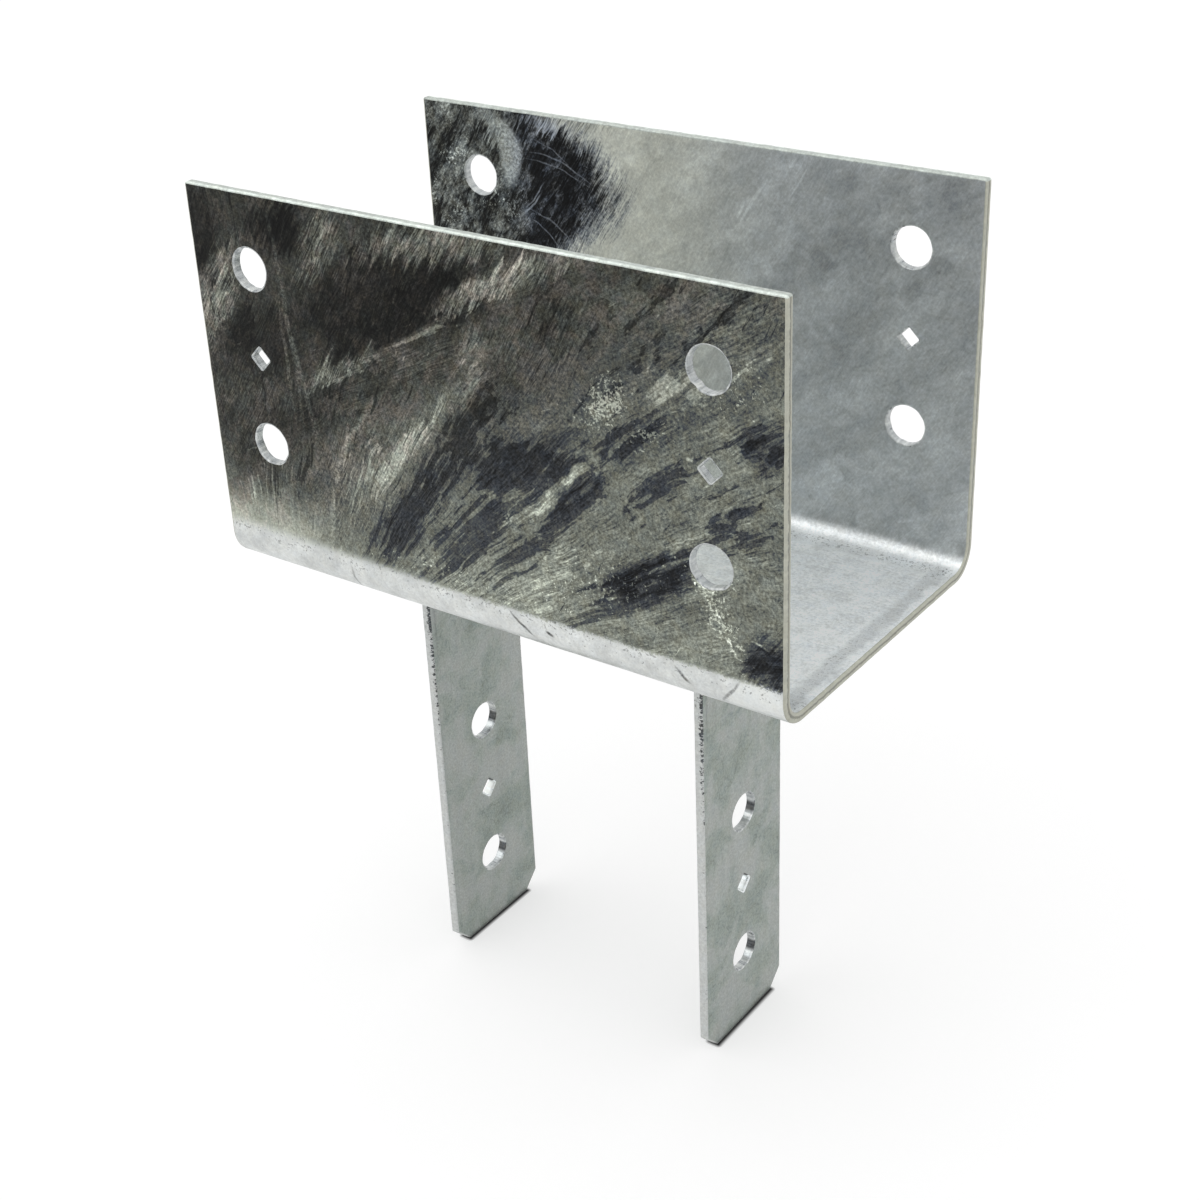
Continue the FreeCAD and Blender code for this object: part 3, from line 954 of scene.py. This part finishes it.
def side_finish():
    """Outer skin of the saddle: dark and pale streaks on the sides over a ground that is partly painted
    reflection, silver round the folds and below as painted reflection of the pale floor.
    """
    zinc = Skin("side_zinc", outward=True)
    along, height, speckle = zinc.along, zinc.height, zinc.speckle

    slope = zinc.dot(zinc.flat, (0.5, -0.87, 0))
    low = zinc.remap(slope, -105, -50)
    high = zinc.minus(1, low)
    shade, chance, _ = zinc.crystals("fan", 38, (30, 13))
    cloud = zinc.swing(zinc.streaks(zinc.feathered["fan"], 30, 9, 3, 0.6, turn=38))
    # Ground tone of the sides, darker towards the upper left: partly the zinc's own spangle, partly painted
    # reflection of dark surroundings.
    tone = zinc.ramp(slope, -150, -20, 0.24, 0.46)
    tone = zinc.lay(tone, SIDE_FRONDS)
    tone = zinc.total(tone, zinc.ramp(shade, 0, 1, -0.045, 0.045), (cloud, 0.05))
    for name, biases in PALE_STREAKS.items():
        tone = zinc.total(tone, (zinc.pale(name, biases), PALE_RISE))
    for name, biases in DARK_STREAKS.items():
        share = zinc.dark(name, biases, DARK_REST[name])
        tone = zinc.times(tone, zinc.total(1, (share, DARK_LOSS)))
    turned = zinc.math("GREATER_THAN", chance, 0.55)
    calm = zinc.remap(zinc.noise(zinc.plain, 16, 2), 0.42, 0.58, 1.3, 0.3)
    hair = zinc.mix(turned, zinc.hair["lean"], zinc.hair["steep"])
    hair = zinc.mix(low, zinc.times(hair, 0.6), zinc.times(zinc.hair["fan"], calm))
    layer = zinc.mix(low, zinc.times(zinc.layers["steep"], 0.4), zinc.layers["fan"])
    blades = zinc.times(zinc.swing(zinc.blades["fan"]), zinc.remap(low, 0, 1, -0.02, -0.09))
    rise = zinc.total(1, (speckle, 0.28), (hair, 0.13), (layer, 0.06), blades)
    tone = zinc.total(zinc.times(tone, rise), (speckle, 0.02), (hair, 0.018))

    # Pale crumbs of the sides: partly zinc crumbs, partly painted glints.
    tone = zinc.crumble(tone, SIDE_CRUMBS_AND_PAINTED_GLINTS)
    glow = zinc.times(zinc.remap(height, 50, 18), zinc.remap(along, -50, -125, 0.05, 0.37))
    tone = zinc.total(tone, glow)

    cool = zinc.times(low, zinc.remap(tone, 0.4, 0.25))
    brown = zinc.times(high, zinc.remap(cloud, -0.4, 0.5))
    tint = zinc.blend(cool, zinc.blend(brown, OLIVE, BROWN), STEEL)

    # Silver of the outer fold and the underside: painted reflection of the pale floor, with pits and marks of
    # the zinc on it.
    mottle = zinc.wave(zinc.place, 9, 3, 0.6)
    pale = zinc.total(0.87, (mottle, 0.06), (speckle, 0.045))
    pale = zinc.lay(pale, BEND_MARKS)
    pits = zinc.total(zinc.minus(1, zinc.crumbs), (mottle, 0.05))
    pits = zinc.remap(zinc.total(pits, zinc.remap(height, 8, 17, -0.1, 0.02)), 0.6, 0.68)
    pale = zinc.total(pale, (pits, -0.24))
    edge = zinc.total(height, (speckle, 1.2), (mottle, 0.4))
    fade = zinc.remap(edge, zinc.remap(along, -110, 10, 24, 19.4), 17)
    rough = zinc.ramp(tone, 0.1, 0.8, 0.3, 0.45)
    return zinc.finish(zinc.mix(fade, tone, pale), zinc.blend(fade, tint, SILVER), rough,
                       zinc.times(speckle, 0.03))


def lining_finish():
    """Inner skin of the saddle: flecked dark zinc at one end of the sides, smooth grey on; pale floor as
    painted top light, with a painted highlight band in the inner folds.
    """
    zinc = Skin("lining_zinc", outward=False)
    along, height, speckle = zinc.along, zinc.height, zinc.speckle
    cloud = zinc.swing(zinc.streaks(zinc.plain, 34, 18, 3, turn=55))
    band = zinc.swing(zinc.streaks(zinc.plain, 80, 15, turn=38))
    tone = zinc.remap(along, -5, 60, 0.78, 0.71)
    tone = zinc.total(tone, (cloud, 0.045), (band, 0.04), (zinc.hair["steep"], 0.025),
                      (zinc.swing(zinc.blades["lean"]), 0.025))
    tone = zinc.total(tone, (zinc.pale("steep", LINING_PALE), 0.07))
    tone = zinc.total(tone, (zinc.gather(LINING_DARK, 0), -0.4))

    off = zinc.most(zinc.minus(height, 139), -27)
    bulge = zinc.times(zinc.times(off, off), 0.032)
    bulge = zinc.total(bulge, (zinc.most(zinc.minus(112, height)), 0.6))
    reach = zinc.total(along, bulge, (zinc.blades["steep"], 28), (zinc.hair["steep"], 4), (speckle, 3))
    flecked = zinc.remap(reach, -10, -38)
    patch = zinc.streaks(zinc.feathered["steep"], 17, 8, 4, 0.68, turn=58)
    patch = zinc.total(patch, zinc.remap(along, -68, -94, -0.12, 0))
    fleck = zinc.total(zinc.ramp(patch, 0.38, 0.64, 0.1, 0.54), (zinc.hair["steep"], 0.06))
    fleck = zinc.times(fleck, zinc.total(1, (speckle, 0.3), (zinc.hair["lean"], 0.14)))
    tone = zinc.mix(flecked, tone, zinc.crumble(fleck, LINING_CRUMBS))
    tone = zinc.lay(tone, LINING_FRONDS)
    tone = zinc.times(tone, zinc.total(1, (speckle, 0.07)))
    tint = zinc.blend(zinc.remap(along, -20, 60), WARM, COOL)
    tint = zinc.blend(flecked, tint, zinc.blend(zinc.remap(along, -100, -74), GREEN, STEEL))

    _, turn = fold_place(zinc)
    across = zinc.size(zinc.dot(zinc.place, (0, 1, 0)))
    rubs = zinc.wave(zinc.vector("MULTIPLY", zinc.place, (0.025, 1.6, 1.6)), 1, 2)
    mottle = zinc.wave(zinc.place, 9, 3, 0.6)
    # Pale floor of the lining: painted top light. It darkens up the fold from turn 0.6, which leaves a
    # painted highlight band low in the inner fold.
    pale = zinc.total(0.96, (mottle, 0.05), (speckle, 0.08), (rubs, 0.02))
    pits = zinc.times(zinc.remap(across, 55, 61), zinc.remap(turn, 0.35, 0.15))
    pale = zinc.total(pale, (zinc.times(pits, zinc.remap(speckle, 0, 0.8)), -0.3))
    groove = zinc.total(zinc.size(along), (mottle, 1.5))
    groove = zinc.remap(zinc.apart(groove, 132.5), 4.5, 1.5)
    groove = zinc.times(groove, zinc.remap(turn, 0.5, 0.2))
    dents = zinc.remap(zinc.total(speckle, (mottle, 0.5)), 0.3, 0.9, 0.07, 0.3)
    pale = zinc.minus(pale, zinc.times(groove, dents))
    pale = zinc.total(pale, zinc.remap(turn, 0.6, 0.9, 0, -0.1))
    wall = zinc.remap(zinc.total(turn, (mottle, 0.08)), 0.8, 1.15)
    rough = zinc.ramp(tone, 0.1, 0.8, 0.34, 0.48)
    return zinc.finish(zinc.mix(wall, pale, tone), zinc.blend(wall, ICE, tint), rough,
                       zinc.times(speckle, 0.03))


def rim_finish():
    """Cut edge of the saddle: painted lighter on top, with a painted highlight as a bright outer line; creamy
    at the ends with a dark line.
    """
    zinc = Zinc("saddle_edge_zinc")
    radius, _ = fold_place(zinc)
    through = zinc.ramp(radius, INSIDE_FOLD * TO_MM, (INSIDE_FOLD + SADDLE_SHEET) * TO_MM)
    height = zinc.dot(zinc.place, (0, 0, 1))
    top = zinc.remap(height, SADDLE_HIGH.z * TO_MM - 1.2, SADDLE_HIGH.z * TO_MM - 0.8)
    nick = zinc.wave(zinc.place, 3, 3, 0.7)
    # Painted highlight: a bright line along the outer rounding of the top edge, over a top painted a little
    # lighter than the ends.
    line = zinc.remap(zinc.apart(through, 0.8), 0.22, 0.05)
    crest = zinc.total(0.75, (line, 0.15), (nick, 0.09), (zinc.speckle, 0.05))
    seam = zinc.total(through, (nick, 0.08))
    seam = zinc.remap(zinc.apart(seam, 0.45), 0.16, 0.05)
    end = zinc.total(0.72, (seam, -0.18), (nick, 0.05))
    return zinc.finish(zinc.mix(top, end, crest), zinc.blend(top, CREAM, GREEN),
                       zinc.remap(nick, -1, 1, 0.35, 0.5), zinc.times(nick, 0.06))


def wall_finish(name, through, dark):
    """Punched wall of a hole: streaks through the sheet and, on the straps, a painted glint and a painted
    shade patch at one side, with the diamond's walls painted bright below and dark on top.
    """
    zinc = Zinc(name)
    squeeze = tuple(0.15 if axis == through else 1.0 for axis in range(3))
    streak = zinc.wave(zinc.vector("MULTIPLY", zinc.place, squeeze), 2.2, 2, 0.6)
    tone = zinc.total(0.74, (streak, 0.14), (zinc.speckle, 0.05))
    if dark:
        # Strap holes: painted shade and a painted glint by the turn round each round hole, and the diamond's
        # walls painted bright below and dark above.
        _, y, z = zinc.split(zinc.place)
        rise = zinc.minus(z, MOUNTS["left_strap_bolts"]["pos_m"][2] * TO_MM)
        diamond = zinc.remap(zinc.size(rise), 9, 8)
        lit = zinc.remap(rise, 2.6, 1.8, 0.36, 0.97)
        half = MOUNTS["left_strap_bolts"]["dims"]["spacing_y_mm"] / 2
        rise = zinc.minus(rise, zinc.times(zinc.math("SIGN", rise), half))
        turn = zinc.math("ARCTAN2", rise, y)
        shade = zinc.remap(zinc.size(zinc.total(turn, 0.25)), 0.34, 0.16)
        glint = zinc.remap(zinc.size(zinc.total(turn, 0.8)), 0.22, 0.1)
        tone = zinc.total(tone, (glint, 0.2), (shade, -0.38))
        tone = zinc.mix(diamond, tone, lit)
    return zinc.finish(tone, zinc.blend(zinc.remap(streak, -1, 1), COOL, SILVER),
                       zinc.remap(streak, -1, 1, 0.25, 0.45), zinc.times(streak, 0.05))


def strap_finish():
    """Satin face of a strap: fine grain, soft upright stripes, greenish smudges."""
    zinc = Zinc("strap_zinc")
    _, y, z = zinc.split(zinc.place)
    curled = zinc.drift(zinc.place, 26, 14)
    smudge = zinc.noise(curled, 20, 4, 0.6)
    stripe = zinc.wave(zinc.vector("MULTIPLY", zinc.place, (0.2, 0.16, 0.02)), 1, 2)
    grain = zinc.wave(zinc.place, 0.9, 2, 0.7)
    tone = zinc.total(0.65, (stripe, 0.012), (grain, 0.05), (zinc.speckle, 0.03))
    tone = zinc.total(tone, zinc.remap(smudge, 0.42, 0.66, 0.015, -0.035))
    wrinkle = zinc.apart(zinc.noise(curled, 15, 3, 0.6), 0.5)
    wrinkle = zinc.times(zinc.remap(wrinkle, 0.022, 0), zinc.remap(smudge, 0.45, 0.6))
    tone = zinc.total(tone, (wrinkle, -0.045))
    # Painted shade: a thin darker line near the strap's edge, in the upper part only.
    line = zinc.remap(zinc.size(zinc.total(y, (grain, 0.4), 28.3)), 1.2, 0.3)
    tone = zinc.total(tone, (zinc.times(line, zinc.remap(z, 140, 200)), -0.07))
    return zinc.finish(tone, zinc.blend(zinc.remap(smudge, 0.38, 0.62), MIST, MOSS),
                       zinc.remap(smudge, 0.3, 0.7, 0.36, 0.5), zinc.times(grain, 0.03))


def strap_edge_finish():
    """Sheared edge of a strap: pale, with a ragged dark line in the upper part."""
    zinc = Zinc("strap_edge_zinc")
    x, _, z = zinc.split(zinc.place)
    out = zinc.minus(x, zinc.times(zinc.math("SIGN", x), STRAP_MIDDLE * TO_MM))
    tear = zinc.noise(zinc.vector("MULTIPLY", zinc.place, (0.5, 0.5, 0.9)), 1, 3, 0.75)
    reach = zinc.ramp(z, 90, 185, -0.16, 0.06)
    reach = zinc.total(reach, zinc.ramp(out, -0.4, 1.5, -0.18, 0.02))
    ragged = zinc.remap(zinc.total(tear, reach), 0.5, 0.56)
    tone = zinc.total(0.8, (zinc.speckle, 0.05), (ragged, -0.46))
    return zinc.finish(tone, zinc.blend(ragged, SILVER, COOL), zinc.remap(tear, 0.3, 0.7, 0.35, 0.55),
                       zinc.times(ragged, -0.15))


def weld_finish():
    """Zinc over a weld bead."""
    zinc = Zinc("weld_zinc")
    mottle = zinc.wave(zinc.place, 6, 3, 0.6)
    tone = zinc.total(0.62, (mottle, 0.06), (zinc.speckle, 0.04))
    return zinc.finish(tone, zinc.blend(zinc.remap(mottle, -1, 1), SILVER, GREEN),
                       zinc.remap(mottle, -1, 1, 0.36, 0.52), zinc.times(zinc.speckle, 0.05))


def seen_rays(nodes):
    """1 for rays that show a background: from the camera, off gloss and through glass."""
    path = nodes.node("LightPath", {}).outputs
    return nodes.most(path["Is Camera Ray"], nodes.most(path["Is Glossy Ray"], path["Is Transmission Ray"]))


def make_floor():
    """Pale floor, white to the camera and in reflections, with cast shadows and a painted contact shadow
    round the strap feet, and clear from below.
    """
    bpy.ops.mesh.primitive_plane_add(size=FLOOR_SIZE)
    floor = bpy.context.object
    floor.name = "floor"
    material = bpy.data.materials.new("pale_floor")
    material.use_nodes = True
    nodes = Nodes(material.node_tree)
    nodes.tree.nodes.clear()
    x, y, _ = nodes.split(nodes.scaled(nodes.node("TexCoord", {}).outputs["Object"], TO_MM))
    # Painted contact shadow: the floor's colour and lift fall towards the outline of the strap feet.
    aside = nodes.minus(nodes.size(x), STRAP_MIDDLE * TO_MM)
    aside = nodes.minus(nodes.size(aside), (STRAP_HIGH.x - STRAP_MIDDLE) * TO_MM)
    ahead = nodes.minus(nodes.size(y), (STRAP_HIGH.y - STRAP_CLIP) * TO_MM)
    gap = nodes.hypot(nodes.most(aside), nodes.most(ahead))
    painted_contact_shadow = nodes.remap(gap, 0.0, PAINTED_SHADOW_REACH * TO_MM, PAINTED_SHADOW_LEVEL, 1.0)
    grey = nodes.times(painted_contact_shadow, FLOOR_COLOUR)
    diffuse = nodes.node("BsdfDiffuse", {"Color": nodes.join(grey, grey, grey)})
    lift = nodes.times(nodes.times(seen_rays(nodes), FLOOR_LIFT), painted_contact_shadow)
    glow = nodes.node("Emission", {"Strength": lift})
    both = nodes.node("AddShader", {0: diffuse.outputs[0], 1: glow.outputs[0]})
    below = nodes.node("NewGeometry", {}).outputs["Backfacing"]
    clear = nodes.node("BsdfTransparent", {})
    surface = nodes.node("MixShader", {0: below, 1: both.outputs[0], 2: clear.outputs[0]})
    nodes.node("OutputMaterial", {"Surface": surface.outputs[0]})
    floor.data.materials.append(material)


def make_world():
    """White surroundings, which light the part a little below white."""
    world = bpy.data.worlds.new("studio")
    bpy.context.scene.world = world
    world.use_nodes = True
    nodes = Nodes(world.node_tree)
    background = nodes.tree.nodes["Background"].inputs
    background["Color"].default_value = (1, 1, 1, 1)
    nodes.put(background["Strength"], nodes.ramp(seen_rays(nodes), 0.0, 1.0, WORLD_LIGHT, 1.0))


def make_sun():
    """Broad soft light from above, a little to the front."""
    data = bpy.data.lights.new("key", "SUN")
    data.energy = SUN_STRENGTH
    data.angle = SUN_SPREAD
    lamp = bpy.data.objects.new("key", data)
    lamp.rotation_euler = (-SUN_FROM).to_track_quat("-Z", "Y").to_euler()
    bpy.context.scene.collection.objects.link(lamp)


def make_camera():
    """Camera at the photograph's viewing angle."""
    data = bpy.data.cameras.new("camera")
    data.lens = CAMERA_LENS
    data.sensor_width = CAMERA_SENSOR
    camera = bpy.data.objects.new("camera", data)
    turn = (CAMERA_AIM - CAMERA_PLACE).to_track_quat("-Z", "Y").to_matrix().to_4x4()
    camera.matrix_world = Matrix.Translation(CAMERA_PLACE) @ turn @ Matrix.Rotation(CAMERA_ROLL, 4, "Z")
    bpy.context.scene.collection.objects.link(camera)
    bpy.context.scene.camera = camera


def place_piece(piece, node):
    """Let a piece stand for its node."""
    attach(piece, "root")
    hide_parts(node)


saddle_zinc = [lining_finish(), side_finish(), rim_finish(), wall_finish("hole_zinc", 1, dark=False)]
strap_face = strap_finish()
strap_zinc = [strap_face, strap_face, strap_edge_finish(), wall_finish("strap_hole_zinc", 0, dark=True)]
weld_zinc = weld_finish()

place_piece(make_saddle(saddle_zinc), "beam_saddle")
for hand in ("left", "right"):
    piece = make_strap(f"galvanised_{hand}_strap", f"{hand}_post_strap", f"{hand}_strap_bolts", strap_zinc)
    place_piece(piece, f"{hand}_post_strap")
    piece = make_weld(f"{hand}_weld_bead", f"{hand}_strap_weld", weld_zinc)
    place_piece(piece, f"{hand}_strap_weld")

make_floor()
make_world()
make_sun()
make_camera()
bpy.context.scene.view_settings.view_transform = "Standard"
